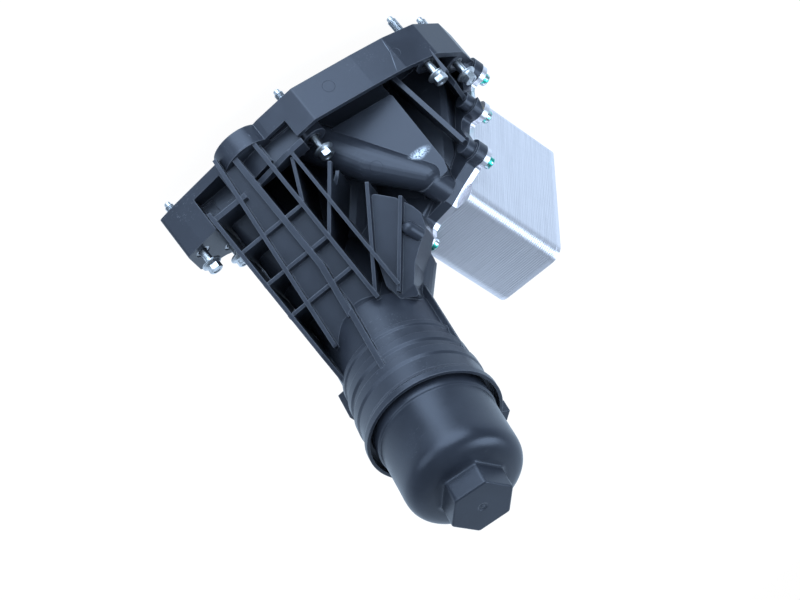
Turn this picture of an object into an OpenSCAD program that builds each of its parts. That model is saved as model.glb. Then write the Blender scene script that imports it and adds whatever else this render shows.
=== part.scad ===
// Engine oil filter module: flanged moulded housing with a leaning filter bowl,
// a screw cap, a replaceable element with a bypass valve, and a plate oil cooler.
// The sealing face lies at z = 0 and the origin is the centre of the locating hole beside
// the front bolt.

/* [Flange] */
// Height of the flange skirt (mm)
flange_h = 26; // [22:0.5:30]
// Thickness of the flange floor (mm)
floor_t = 9; // [8:0.5:11]
// Thickness of the skirt and outer walls (mm)
skirt_t = 4; // [3:0.25:5]
// Height of the left arm (mm)
arm_h = 32; // [30:0.5:35]
// Outer radius of the bolt bosses (mm)
boss_r = 8.5; // [8:0.25:10]
// Radius of the locating hole at the origin (mm)
locating_r = 3; // [2.5:0.25:4]
// Radius of the oil feed port (mm)
port_r = 8; // [6:0.25:9]
// Depth of the ports in the sealing face (mm)
port_depth = 7.5; // [5:0.5:7.5]

/* [Bolts] */
// Shank diameter of the flange bolts (mm)
bolt_d = 6; // [5:0.5:7]
// Length of the flange bolts under the head (mm)
bolt_l = 50; // [46:1:56]
// Length of the thread at the tip of the flange bolts (mm)
thread_l = 7; // [5:0.5:9]
// How far the loose bolt heads stand above their bosses (mm)
bolt_proud = 9; // [2:0.5:10]
// Washer face diameter of the flange bolts (mm)
bolt_flange_d = 13.5; // [12:0.25:15]
// Width across flats of the bolt heads (mm)
bolt_af = 8; // [7:0.25:9]

/* [Filter bowl] */
// Forward lean of the filter axis (deg)
filter_tilt = 25; // [22:0.5:28]
// Sideways lean of the filter axis (deg)
filter_yaw = 5.2; // [4:0.2:6]
// Distance from the flange, along the axis, to the end of the cap's hexagon (mm)
axis_l = 305; // [300:1:312]
// Wall thickness of the bowl (mm)
bowl_wall = 4.2; // [3.5:0.1:4.5]

/* [Cap] */
// Outer radius of the cap (mm)
cap_r = 36.9; // [36:0.1:40]
// Wall thickness of the cap (mm)
cap_wall = 3.2; // [2.6:0.1:3.6]
// Width across flats of the hexagon (mm)
hex_af = 36; // [32:0.5:38]
// Height of the hexagon (mm)
hex_h = 16; // [12:0.5:18]
// Section radius of the cap seal (mm)
seal_ring_r = 1.3; // [1.1:0.05:1.5]

/* [Filter element] */
// Outer radius of the pleated media (mm)
media_r = 28; // [26:0.5:28.5]
// Inner radius of the pleated media (mm)
media_bore_r = 15.2; // [15:0.2:18]
// Number of pleats
pleats = 44; // [36:1:56]
// Outer radius of the standpipe (mm)
pipe_r = 11; // [10:0.25:11.5]
// Travel of the bypass poppet (mm)
bypass_travel = 4; // [3:0.5:5]

/* [Cooler] */
// Length of the cooler block (mm)
cooler_l = 108; // [104:1:112]
// Width of the cooler block (mm)
cooler_w = 58; // [54:1:60]
// Height of the brazed stack with its end plate (mm)
cooler_h = 77; // [70:1:80]
// Number of plates in the stack
plates = 26; // [20:1:30]
// Corner radius of the block (mm)
cooler_corner = 9; // [6:0.5:12]
// Thickness of the cooler base plate (mm)
base_t = 4; // [3.5:0.25:5]
// Distance of the pad face from the origin, along the cooler axis (mm)
pad_c = 96; // [94:0.5:98]
// Thickness of the housing's cooler pad (mm)
pad_t = 7; // [6:0.5:9]
// Shank diameter of the cooler screws (mm)
screw_d = 6; // [5:0.5:6.5]
// Radius of the lobes round the cooler screws (mm)
lobe_r = 7.8; // [7:0.2:8.4]

/* [Rib lattice] */
// Thickness of the long ribs (mm)
rib_t = 2.6; // [2:0.1:3.2]
// Thickness of the cross ribs and diagonals (mm)
web_t = 2.2; // [1.6:0.1:2.8]

/* [Hidden] */
$fn = 64;

// Small overlap that lets a cut run past a face, and the clearances between pieces
cut = 1;
seat_gap = 0.2;
fit = 0.08;

// The locating hole is a little shallower than the ports
locating_depth = port_depth - 1.5;

// Places on the sealing face: bolts (1 marks those in the tall arm), bowl axis, gallery lobe and ports
bolt_at = [[92, 3, 1], [-6, -11, 0], [-90.5, 11, 0], [-107, 40, 0], [77, 23, 1], [44, 101, 0]];
foot = [25, 95];
function boss_top(b) = b[2] == 1 ? arm_h : flange_h;
gallery_at = [33, -18];
gallery_r = 17.5;
gallery_top = floor_t + 4;
rim_bar_t = 3.5;
return_port = [gallery_at[0], gallery_at[1], 9];
coolant_ports = [[-58, 34, 10], [-86, 58, 8.5]];
main_port = [22, 62, 10];
feed_port = [-18, 24, port_r];

// Filter axis: heights are measured along it from the sealing face
mouth_h = axis_l - 67;
counterbore_h = mouth_h - 8;
thread_h = mouth_h - 27;
seal_h = mouth_h - 40;
chamber_h = 100;
chamber_r = cap_r - 5.4;
seal_bore_r = cap_r - 1.7;
thread_bore_r = cap_r + 0.5;
lip_r = cap_r + 6.5;
bowl_floor = 6;
step_h = 157;
bowl_r = chamber_r + bowl_wall;
counterbore_r = lip_r - 2.1;
nose_r = seal_bore_r - 0.3;
cap_thread_r = thread_bore_r - 0.4;
collar_r = cap_r + 1.1;
hex_base_h = axis_l - hex_h;
groove_h = seal_h + 7.4;
groove_r = nose_r - 2 * seal_ring_r - 0.1;
nose_bore_r = groove_r - 1.9;

// Filter element and standpipe
drain_at = 21;
drain_r = 4;
element_floor_h = chamber_h + 8;
end_cap_t = 3;
media_h0 = element_floor_h + end_cap_t;
media_h1 = hex_base_h - 27;
core_r = media_bore_r - 0.2;
hub_r = 10.4;
hub_top_h = hex_base_h - 7;
pipe_bore_r = pipe_r - 2;
valve_h = media_h1 - 12;
poppet_r = pipe_bore_r - 1.2;
stem_r = 2.5;

// Seals and sleeves
sleeve_r = bolt_d / 2 + 2;
seal_groove = 2.5;
port_seal_t = 2.4;

// Cooler: x runs along the block, y across it and z away from the pad
cooler_turn = [-13.3, -47.4, -50];
cooler_at = [-4.7, -31.8];
lobes_front = [[-60, -71], [-20.5, -72], [24.5, -72.5], [57, -21]];
lobes_back = [[-58, 6], [-20, 7], [16, 7]];
lobes_at = concat(lobes_front, lobes_back);
cooler_ports = [[-42, -32, 8], [32, -32, 8], [-5, -46, 6], [-5, -16, 6]];
insert_r = screw_d / 2 + 1;
insert_wall = 1.6;
insert_l = 12;
cooler_port_l = 11;
cooler_room_gap = 2.5;
boss_stub_r = 4.4;
screw_l = 16;
screw_head_r = 5.4;
screw_head_h = 5.5;

module on_filter() {
    translate([foot[0], foot[1], 0]) rotate([filter_tilt, filter_yaw, 0]) children();
}

module on_cooler() {
    rotate(cooler_turn) translate([0, 0, pad_c]) children();
}

// Ring about the filter axis
module ring(h0, h1, r_out, r_in) {
    translate([0, 0, h0]) difference() {
        cylinder(r = r_out, h = h1 - h0);
        translate([0, 0, -cut]) cylinder(r = r_in, h = h1 - h0 + 2 * cut);
    }
}

// Straight bar of width w between two points of a flat pattern
module bar(a, b, w) {
    d = b - a;
    translate(a) rotate(atan2(d[1], d[0])) translate([-w / 2, -w / 2]) square([norm(d) + w, w]);
}

// Flat pattern in x and z, carried from y = y0 back to y = y1
module along_y(y0, y1) {
    translate([0, y1, 0]) rotate([90, 0, 0]) linear_extrude(y1 - y0) children();
}

// Flat pattern in y and z, carried from x = x0 to x = x1
module along_x(x0, x1) {
    translate([x0, 0, 0]) rotate([90, 0, 90]) linear_extrude(x1 - x0) children();
}

module flange_shape() {
    offset(r = 2.5, $fn = 24) offset(delta = -2.5) {
        polygon([[-114, 31], [-99, 7], [-78, -6], [-55, -16], [-14, -32], [14, -28], [52, -16],
            [88, -8], [101, -4], [102, 24], [84, 31], [66, 44], [66, 96], [20, 110], [-30, 106],
            [-88, 88], [-118, 60]]);
    }
}

module skirt_shape(t) {
    difference() {
        flange_shape();
        offset(delta = -t) flange_shape();
    }
}

module flange_frame() {
    linear_extrude(floor_t) flange_shape();
    linear_extrude(flange_h) skirt_shape(skirt_t);
    for (b = bolt_at) intersection() {
        translate([b[0], b[1], 0]) cylinder(r = boss_r, h = boss_top(b));
        linear_extrude(arm_h) flange_shape();
    }
    translate([gallery_at[0], gallery_at[1], 0]) cylinder(r = gallery_r, h = gallery_top);
    cylinder(r = locating_r + 4, h = flange_h - 2);
    // The stiff left arm: end block, rim bar over the front pocket and a web behind it
    intersection() {
        linear_extrude(arm_h) flange_shape();
        union() {
            translate([76, -20, 0]) cube([40, 60, arm_h]);
            translate([0, -40, arm_h - rim_bar_t]) cube([78, 24, rim_bar_t]);
            translate([40, 4, 0]) cube([40, 50, arm_h - 6]);
            translate([0, -20, 0]) cube([26, 4, arm_h]);
        }
    }
}

// Ribs seen from the front: long ribs, a ladder of cross ribs, and diagonals
rib_a = [[24.5, 8], [24, 130]];
rib_b = [[39.4, 8], [38.5, 95], [43.2, 128]];
rib_c = [[49.5, 6], [62.3, 137]];
rib_d = [[72.5, 26], [71.5, 158]];
ladder_z = [59, 83.5, 107];
module long_ribs() {
    bar(rib_a[0], rib_a[1], rib_t);
    bar(rib_b[0], rib_b[1], rib_t + 1.2);
    bar(rib_b[1], rib_b[2], rib_t + 1.2);
    bar(rib_c[0], rib_c[1], rib_t);
    bar(rib_d[0], rib_d[1], rib_t);
    bar([10, 30], [9.5, 132], web_t);
}

module cross_ribs() {
    for (z = ladder_z) bar([rib_a[0][0], z], [rib_d[0][0], z], web_t);
    bar([rib_c[0][0], arm_h + 1], [rib_d[0][0], arm_h + 1], web_t + 1);
}

module diagonals() {
    bar([12, 34], [23, 57], web_t);
    bar([-4, 50], [23, 83], web_t);
    bar([-13.6, 74], [22.5, 126], web_t);
    bar([-24, 93], [11.5, 135], web_t);
}

module lattice() {
    intersection() {
        along_y(-34, 70) long_ribs();
        along_x(-30, 80) polygon([[-33, 5], [-32, 12], [-8, 137], [0, 160], [28, 160], [72, 40], [72, 5]]);
    }
    intersection() {
        along_y(-34, 60) union() { cross_ribs(); diagonals(); }
        along_x(-30, 80) polygon([[-31, 5], [-30, 12], [-6, 138], [0, 146], [22, 146], [60, 40], [60, 5]]);
    }
}

// Walls that close some of the cells a little behind the edges of the ribs
module cell_floors() {
    intersection() {
        along_y(-34, 40) polygon([rib_b[0], rib_c[0], rib_c[1], [62, 146], [47, 146], rib_b[2], rib_b[1]]);
        along_x(0, 90) polygon([[-25, 5], [-25, 12], [1, 147], [26, 147], [26, 5]]);
    }
    intersection() {
        along_y(-34, 40) polygon([[rib_a[0][0], ladder_z[0]], [rib_b[0][0], ladder_z[0]], rib_b[1], rib_b[2],
            rib_a[1]]);
        along_x(0, 90) polygon([[-13, ladder_z[0]], [1, 137], [26, 137], [26, ladder_z[0]]]);
    }
}

// Wall of the shoulder that carries the ends of the diagonals
module shoulder_wall() {
    intersection() {
        along_y(-34, 44) offset(r = 2, $fn = 24) offset(delta = -2) polygon([[-12, 78], [-21.6, 89],
            [-26.6, 99.6], [-28, 106], [-24.7, 114.7], [-15.2, 120.6], [-6.5, 126.6], [1.9, 136], [4.1, 144],
            [14, 138], [16, 127], [8.3, 105.5]]);
        along_x(-40, 80) polygon([[-14, 64], [0, 137], [4, 150], [44, 150], [44, 90], [8, 64]]);
    }
}

// Outer profile of the bowl, with the stepped collar round its mouth
module bowl_outside() {
    rotate_extrude() polygon([[0, chamber_h - bowl_floor - 4], [bowl_r - 9, chamber_h - bowl_floor - 4],
        [bowl_r - 1.2, chamber_h - bowl_floor + 4], [bowl_r - 0.4, step_h], [bowl_r + 0.9, step_h + 1],
        [bowl_r + 0.9, mouth_h - 53.5], [bowl_r + 2.6, mouth_h - 52.5], [bowl_r + 2.6, mouth_h - 49.5],
        [bowl_r + 1.8, mouth_h - 48], [bowl_r + 2.1, mouth_h - 40.5], [bowl_r + 4.2, mouth_h - 39.5],
        [bowl_r + 4.4, mouth_h - 34], [bowl_r + 3.4, mouth_h - 32], [bowl_r + 3.6, mouth_h - 27],
        [lip_r - 2, mouth_h - 26], [lip_r - 1.8, mouth_h - 20], [lip_r - 2.6, mouth_h - 18],
        [lip_r - 1.8, mouth_h - 6], [lip_r, mouth_h - 4], [lip_r, mouth_h], [0, mouth_h]]);
}

module bowl_bores() {
    translate([0, 0, chamber_h]) cylinder(r = chamber_r, h = mouth_h - chamber_h);
    translate([0, 0, seal_h]) cylinder(r = seal_bore_r, h = mouth_h - seal_h);
    translate([0, 0, thread_h]) cylinder(r = thread_bore_r, h = mouth_h - thread_h);
    translate([0, 0, counterbore_h]) cylinder(r = counterbore_r, h = mouth_h - counterbore_h + cut);
    translate([0, drain_at, chamber_h - bowl_floor]) cylinder(r = drain_r, h = bowl_floor + cut);
    // Clean oil leaves through the standpipe
    translate([0, 0, chamber_h - bowl_floor]) cylinder(r = pipe_bore_r, h = bowl_floor + cut);
}

// Wings and latch nose round the collar
module collar_lugs() {
    rotate(12) translate([bowl_r - 2, -5, mouth_h - 66]) cube([9, 10, 20]);
    rotate(142) translate([lip_r - 3, -4, mouth_h - 9]) cube([8, 8, 9]);
    rotate(-168) translate([bowl_r - 3, -web_t / 2, step_h - 40]) cube([7.5, web_t, mouth_h - step_h + 13]);
    // The broad long rib runs on along the bowl
    rotate(-82.5) translate([bowl_r - 3, -(rib_t + 1) / 2, step_h - 32])
        cube([8.5, rib_t + 1, mouth_h - step_h + 6]);
}

module gallery() {
    hull($fn = 32) {
        translate([44, -12, floor_t - 2]) cube([24, 40, 3]);
        on_filter() translate([15, 0, 140]) cylinder(r = bowl_r - 17, h = 8);
    }
}

module bowl_foot() {
    hull($fn = 32) {
        translate([-44, 32, floor_t - 2]) cube([104, 64, 3]);
        on_filter() translate([0, 0, chamber_h - bowl_floor]) cylinder(r = bowl_r - 1.5, h = 5);
    }
}

// Duct from the flange to the cooler: a flat wall in front and a round ridge on its right side
duct_y = 3;
duct_r = 9.5;
duct_foot = [-3, 17];
duct_bend = [-22, 54];
duct_end = [-46, 86.5];
module oil_duct() {
    translate([-60, duct_y + 6, floor_t - 1]) cube([52, 22, 24]);
    along_y(duct_y, duct_y + 22) offset(r = 2, $fn = 24) offset(delta = -2)
        polygon([[-16, 22], [-60.4, 29.5], [-59.6, 85], [-57.4, 92.3], [-50.5, 93], [-22, 55]]);
    hull($fn = 32) {
        translate([duct_foot[0], duct_y + duct_r, duct_foot[1]]) sphere(r = duct_r + 4);
        translate([duct_bend[0], duct_y + duct_r - 2, duct_bend[1]]) sphere(r = duct_r + 2);
        translate([duct_end[0], duct_y + duct_r - 4, duct_end[1]]) sphere(r = duct_r);
        translate([-40, duct_y + 20, 60]) cube([10, 2, 10]);
        translate([-10, duct_y + 8, floor_t]) cube([12, 14, 3]);
    }
    on_cooler() translate([40, -47.6, -pad_t - 14]) cylinder(r = duct_r, h = 15);
}

// Shoulder that joins the bowl to the lower end of the pad
module shoulder() {
    hull($fn = 32) {
        on_filter() translate([0, 4, chamber_h + 8]) cylinder(r = bowl_r - 5, h = 46);
        on_cooler() translate([0, 0, -pad_t - 1]) linear_extrude(2)
            polygon([[16, -50], [34, -44], [47, -30], [54, -14], [44, 0], [0, 0], [-10, -40]]);
    }
}

module pad_body() {
    hull($fn = 32) {
        translate([-104, 44, floor_t - 2]) cube([76, 46, 3]);
        on_cooler() translate([0, 0, -pad_t - 1]) linear_extrude(2)
            polygon([[-58, -58], [16, -58], [34, -50], [46, -32], [50, -16], [40, 0], [-56, 0]]);
    }
}

module pad_shape(extra) {
    offset(r = -3, $fn = 24) offset(r = 3 + extra, $fn = 24) union() {
        polygon([[-64, -65], [-41, -67], [-4, -64], [22, -74], [31, -70], [39, -58.5], [49, -47], [52, -32],
            [60, -23], [58, -10], [49, 0], [20, 6], [-60, 6]]);
        for (p = lobes_at) translate(p) circle(lobe_r, $fn = 32);
    }
}

module cooler_pad() {
    on_cooler() {
        translate([0, 0, -pad_t]) linear_extrude(pad_t) pad_shape(0);
        for (p = lobes_at) translate([p[0], p[1], -insert_l - insert_wall])
            cylinder(r = insert_r + insert_wall, h = insert_l + insert_wall);
        // Short boss on the shoulder, beside the lowest front screw
        translate([78, -35.5, -25]) {
            sphere(r = boss_stub_r);
            cylinder(r = boss_stub_r, h = 9);
        }
    }
}

// Fins that tie the pad to the flange skirt
fin_t = 3;
module pad_fins() {
    intersection() {
        along_y(-10, 50) bar([-67, 14], [-76.5, 86], fin_t);
        along_x(-90, -60) polygon([[2, 10], [3, 84], [40, 86], [50, 10]]);
    }
    along_x(-94 - fin_t, -94) polygon([[6, 18], [4, 40], [38, 56], [60, 40], [60, 8], [20, 8]]);
    along_x(1 - fin_t, 1) polygon([[52, 8], [100, 8], [86, 60], [40, 92], [30, 90]]);
}

module housing() {
    color([0.13, 0.14, 0.16]) difference() {
        union() {
            flange_frame();
            lattice();
            cell_floors();
            shoulder_wall();
            gallery();
            bowl_foot();
            oil_duct();
            shoulder();
            pad_body();
            cooler_pad();
            pad_fins();
            on_filter() bowl_outside();
            on_filter() collar_lugs();
        }
        housing_cuts();
    }
}

module cooler_room() {
    offset(delta = 1.5) pad_shape(0);
    translate(cooler_at) square([cooler_l + 2 * cooler_room_gap, cooler_w + 2 * cooler_room_gap],
        center = true);
}

module housing_cuts() {
    on_filter() bowl_bores();
    // Front pockets of the arm and of the skirt beside the gallery lobe
    translate([54, -30, floor_t - 2]) cube([22, 33, arm_h - rim_bar_t - floor_t + 2]);
    translate([1, -40, gallery_top]) cube([21, 22, flange_h - gallery_top + cut]);
    for (b = bolt_at) translate([b[0], b[1], -cut]) cylinder(r = sleeve_r, h = boss_top(b) + 2 * cut);
    // Room for a socket round each bolt head
    for (b = bolt_at) translate([b[0], b[1], boss_top(b)]) cylinder(r = bolt_flange_d / 2 + 1, h = 40);
    // Room for the cooler beyond its pad
    on_cooler() linear_extrude(cooler_h + 20) cooler_room();
    // Ports in the sealing face
    translate([0, 0, -cut]) cylinder(r = locating_r, h = locating_depth + cut);
    for (p = concat([main_port, feed_port, return_port], coolant_ports)) translate([p[0], p[1], -cut])
        cylinder(r = p[2], h = port_depth + cut);
    translate([0, 0, -cut]) linear_extrude(seal_groove + cut) seal_shape(0);
    on_cooler() {
        for (p = cooler_ports) translate([p[0], p[1], -cooler_port_l])
            cylinder(r = p[2], h = cooler_port_l + cut);
        for (p = cooler_ports) translate([0, 0, -port_seal_t + 0.4]) translate([p[0], p[1], 0])
            difference() {
                cylinder(r = p[2] + 4.4, h = port_seal_t + cut);
                translate([0, 0, -cut]) cylinder(r = p[2] + 1, h = port_seal_t + 3 * cut);
            }
        for (p = lobes_at) translate([p[0], p[1], -insert_l]) cylinder(r = insert_r, h = insert_l + cut);
    }
}

// Path of the moulded seal in the sealing face: inside the bolts and the locating hole, and
// round the gallery lobe
module seal_land() {
    offset(r = 2, $fn = 24) offset(delta = -6.5) union() {
        difference() {
            flange_shape();
            for (b = bolt_at) translate([b[0], b[1]]) circle(sleeve_r + 2, $fn = 32);
            translate([66, -50]) square([60, 120]);
            translate([bolt_at[1][0] - 9, -60]) square([18, 60 + locating_r]);
        }
        translate([gallery_at[0], gallery_at[1]]) circle(gallery_r, $fn = 48);
    }
}

module seal_shape(slim) {
    difference() {
        offset(delta = -slim) seal_land();
        offset(delta = slim - 3) seal_land();
    }
}

module flange_seal() {
    color([0.09, 0.09, 0.1]) translate([0, 0, -0.4]) linear_extrude(seal_groove + 0.2) seal_shape(0.15);
}

module bolt_sleeves() {
    color([0.62, 0.64, 0.67]) for (b = bolt_at) translate([b[0], b[1], 0])
        ring(0, boss_top(b) - 0.5, sleeve_r - fit / 2, bolt_d / 2 + 0.25);
}

// Flange bolt: under-head face at z = 0, shank down, washer face and hexagon up
module flange_bolt() {
    washer_t = 1.6;
    translate([0, 0, -bolt_l]) cylinder(r1 = bolt_d / 2 - 1, r2 = bolt_d / 2, h = 2);
    translate([0, 0, 2 - bolt_l]) cylinder(r = bolt_d / 2, h = thread_l);
    translate([0, 0, 1 - bolt_l]) cylinder(r = bolt_d / 2 - 0.35, h = bolt_l);
    cylinder(r = bolt_flange_d / 2, h = washer_t);
    translate([0, 0, washer_t]) cylinder(r1 = bolt_flange_d / 2 - 0.6, r2 = bolt_af / 2 + 0.6, h = 1);
    cylinder(r = bolt_af / sqrt(3), h = washer_t + 5, $fn = 6);
}

module flange_bolts() {
    color([0.8, 0.82, 0.84]) for (b = bolt_at)
        translate([b[0], b[1], boss_top(b) + bolt_proud]) flange_bolt();
}

module cap_profile() {
    polygon([[0, hex_base_h - 3.6], [14, hex_base_h - 3.6], [cap_r - 12, hex_base_h - 4.4],
        [cap_r - 6, hex_base_h - 7], [cap_r - cap_wall, hex_base_h - 11.5], [cap_r - cap_wall, seal_h + 14],
        [nose_bore_r, seal_h + 11], [nose_bore_r, seal_h + 1.6], [nose_bore_r + 0.8, seal_h + 0.6],
        [nose_r - 0.8, seal_h + 0.6], [nose_r, seal_h + 2], [nose_r, thread_h + 0.2],
        [cap_thread_r, thread_h + 2.4], [cap_thread_r, counterbore_h], [collar_r, counterbore_h],
        [collar_r, mouth_h + 3.6], [collar_r - 0.6, mouth_h + 4.5], [cap_r + 0.1, mouth_h + 5],
        [cap_r, hex_base_h - 11.5], [cap_r - 0.9, hex_base_h - 7.5], [cap_r - 3.2, hex_base_h - 4],
        [cap_r - 7, hex_base_h - 1.7], [cap_r - 12, hex_base_h - 0.4], [cap_r - 17, hex_base_h],
        [0, hex_base_h]]);
}

module filter_cap() {
    color([0.12, 0.13, 0.16]) on_filter() difference() {
        union() {
            rotate_extrude() cap_profile();
            translate([0, 0, hex_base_h - 1]) cylinder(r = hex_af / sqrt(3), h = hex_h + 1, $fn = 6);
            // Socket that holds the element's hub
            ring(media_h1 + end_cap_t + 3, hex_base_h - 2, hub_r + 3, hub_r + fit);
        }
        ring(groove_h - seal_ring_r - seat_gap, groove_h + seal_ring_r + seat_gap, nose_r + cut, groove_r);
    }
}

module cap_seal() {
    color([0.1, 0.1, 0.11]) on_filter() translate([0, 0, groove_h]) rotate_extrude()
        translate([groove_r + seal_ring_r + 0.05, 0]) circle(seal_ring_r, $fn = 24);
}

// Pleated ring: the fold line runs in and out once a pleat
module element_media() {
    outer = [for (i = [0:2 * pleats - 1]) let (a = 180 * i / pleats, r = i % 2 == 0 ? media_r : media_r - 1.6)
        [r * cos(a), r * sin(a)]];
    color([0.86, 0.8, 0.62]) on_filter() translate([0, 0, media_h0]) linear_extrude(media_h1 - media_h0)
        difference() {
            polygon(outer);
            circle(media_bore_r);
        }
}

module element_core() {
    windows = 5;
    rows = 8;
    pitch = (media_h1 - media_h0 - 6) / rows;
    color([0.2, 0.2, 0.22]) on_filter() difference() {
        ring(media_h0, media_h1, core_r, core_r - 1.6);
        for (k = [0:rows - 1], i = [0:windows - 1]) rotate(360 * i / windows + 36 * (k % 2))
            translate([core_r - 4, -4, media_h0 + 4 + k * pitch]) cube([6, 8, pitch - 3]);
    }
}

module element_top_cap() {
    color([0.2, 0.2, 0.22]) on_filter() {
        translate([0, 0, media_h1]) cylinder(r = media_r + 0.6, h = end_cap_t);
        ring(media_h1 + end_cap_t, hub_top_h, hub_r, hub_r - 2);
    }
}

module element_base_cap() {
    color([0.2, 0.2, 0.22]) on_filter() difference() {
        union() {
            ring(element_floor_h, media_h0, media_r + 0.6, pipe_r + 2);
            translate([0, drain_at, chamber_h - bowl_floor + 1])
                cylinder(r = drain_r - 0.3, h = element_floor_h - chamber_h + bowl_floor);
        }
        for (h = [1.2, 4.4]) translate([0, drain_at, 0]) ring(chamber_h - bowl_floor + h + 1,
            chamber_h - bowl_floor + h + 2.4, drain_r + cut, drain_r - 1.3);
    }
}

module drain_pin_seals() {
    color([0.1, 0.1, 0.11]) on_filter() for (h = [1.2, 4.4])
        translate([0, drain_at, chamber_h - bowl_floor + h + 1.7]) rotate_extrude()
            translate([drain_r - 0.72, 0]) circle(0.55, $fn = 16);
}

module element_seal() {
    color([0.1, 0.1, 0.11]) on_filter() ring(element_floor_h, media_h0, pipe_r + 1.95, pipe_r + 0.3);
}

module standpipe() {
    slots = 4;
    color([0.24, 0.25, 0.27]) on_filter() difference() {
        union() {
            ring(chamber_h, valve_h + 2, pipe_r, pipe_bore_r);
            ring(chamber_h, chamber_h + 3, pipe_r + 4, pipe_bore_r);
        }
        for (k = [0:3], i = [0:slots - 1]) rotate(360 * i / slots) translate([pipe_bore_r - 2, -3,
            chamber_h + 22 + k * 28]) cube([6, 6, 18]);
    }
}

module bypass_seat() {
    color([0.5, 0.52, 0.55]) on_filter() {
        ring(valve_h - 2, valve_h + 2, pipe_bore_r - fit / 2, poppet_r - 2);
        ring(valve_h + 2, valve_h + 3.5, pipe_r, poppet_r - 2);
    }
}

module bypass_poppet() {
    color([0.72, 0.6, 0.34]) on_filter() {
        translate([0, 0, valve_h - 4]) cylinder(r = poppet_r, h = 2);
        translate([0, 0, valve_h - 22]) cylinder(r = stem_r, h = 19);
    }
}

module bypass_retainer() {
    color([0.5, 0.52, 0.55]) on_filter() difference() {
        ring(valve_h - 20, valve_h - 17, pipe_bore_r - fit / 2, stem_r + 0.06);
        for (a = [0:90:270]) rotate(a) translate([5.7, 0, valve_h - 21]) cylinder(r = 1.6, h = 5);
    }
}

// Coil spring between retainer and poppet
module bypass_spring() {
    turns = 5;
    wire = 0.6;
    coil_r = 4.4;
    h0 = valve_h - 17 + wire;
    h1 = valve_h - 4 - wire;
    steps = 24 * turns;
    sides = 6;
    function coil(k, j) = let (a = 360 * turns * k / steps, b = 360 * j / sides, r = coil_r + wire * cos(b))
        [r * cos(a), r * sin(a), h0 + (h1 - h0) * k / steps + wire * sin(b)];
    color([0.7, 0.72, 0.75]) on_filter() polyhedron(
        points = [for (k = [0:steps], j = [0:sides - 1]) coil(k, j)],
        faces = concat([[for (j = [0:sides - 1]) j]],
            [for (k = [0:steps - 1], j = [0:sides - 1]) let (n = (j + 1) % sides)
                [k * sides + j, (k + 1) * sides + j, (k + 1) * sides + n, k * sides + n]],
            [[for (j = [sides - 1:-1:0]) steps * sides + j]]));
}

// Block with rounded upright edges, its sides drawn in by an inset
module block(inset, h) {
    long = cooler_l - 2 * inset;
    wide = cooler_w - 2 * inset;
    r = cooler_corner - inset;
    translate([cooler_at[0], cooler_at[1], h / 2]) {
        cube([long, wide - 2 * r, h], center = true);
        cube([long - 2 * r, wide, h], center = true);
        for (i = [-1, 1], j = [-1, 1]) translate([i * (long / 2 - r), j * (wide / 2 - r), 0])
            cylinder(r = r, h = h, center = true);
    }
}

module cooler_base_plate() {
    color([0.75, 0.78, 0.8]) on_cooler() difference() {
        translate([0, 0, seat_gap / 2]) linear_extrude(base_t - seat_gap / 2) pad_shape(-0.6);
        for (p = lobes_at) translate([p[0], p[1], -cut])
            cylinder(r = screw_d / 2 + 0.3, h = base_t + 2 * cut);
        for (p = cooler_ports) translate([p[0], p[1], -cut]) cylinder(r = p[2], h = base_t + 2 * cut);
    }
}

// Brazed stack: each plate's rim stands a little proud of the gap above it
module cooler_core() {
    pitch = (cooler_h - 4) / plates;
    color([0.74, 0.77, 0.8]) on_cooler() difference() {
        union() {
            translate([0, 0, base_t]) block(0.5, pitch * plates);
            for (k = [0:plates - 1]) translate([0, 0, base_t + k * pitch]) block(0, pitch * 0.6);
        }
        for (p = cooler_ports) translate([p[0], p[1], base_t - cut]) cylinder(r = p[2], h = cooler_h - 10);
    }
}

module cooler_end_plate() {
    color([0.75, 0.78, 0.8]) on_cooler() translate([0, 0, base_t + cooler_h - 4]) {
        block(0, 3);
        block(3, 4);
    }
}

module cooler_seals() {
    color([0.1, 0.1, 0.11]) on_cooler() for (p = cooler_ports) translate([p[0], p[1], 0])
        ring(0.45 - port_seal_t, 0, p[2] + 4.2, p[2] + 1.2);
}

module cooler_inserts() {
    color([0.78, 0.66, 0.38]) on_cooler() for (p = lobes_at) translate([p[0], p[1], 0])
        ring(-insert_l, -0.1, insert_r - fit / 2, screw_d / 2 + 0.1);
}

// Cooler screw: shank into the insert, washer face on the base plate and a hexagon head
module cooler_screws() {
    color([0.78, 0.8, 0.82]) on_cooler() for (p = lobes_at) translate([p[0], p[1], base_t]) {
        translate([0, 0, -screw_l]) cylinder(r = screw_d / 2, h = screw_l);
        cylinder(r = screw_head_r, h = 1.4);
        translate([0, 0, 1.4])
            cylinder(r1 = screw_head_r - 0.6, r2 = screw_head_r - 1.2, h = screw_head_h - 1.4);
    }
}

housing();
filter_cap();
cap_seal();
element_media();
element_core();
element_top_cap();
element_base_cap();
element_seal();
drain_pin_seals();
standpipe();
bypass_seat();
bypass_poppet();
bypass_spring();
bypass_retainer();
cooler_base_plate();
cooler_core();
cooler_end_plate();
cooler_seals();
cooler_screws();
cooler_inserts();
flange_bolts();
bolt_sleeves();
flange_seal();
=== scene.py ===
"""Looks of an oil filter module: moulded housing, screw cap, plate cooler, fasteners and stage."""

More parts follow.
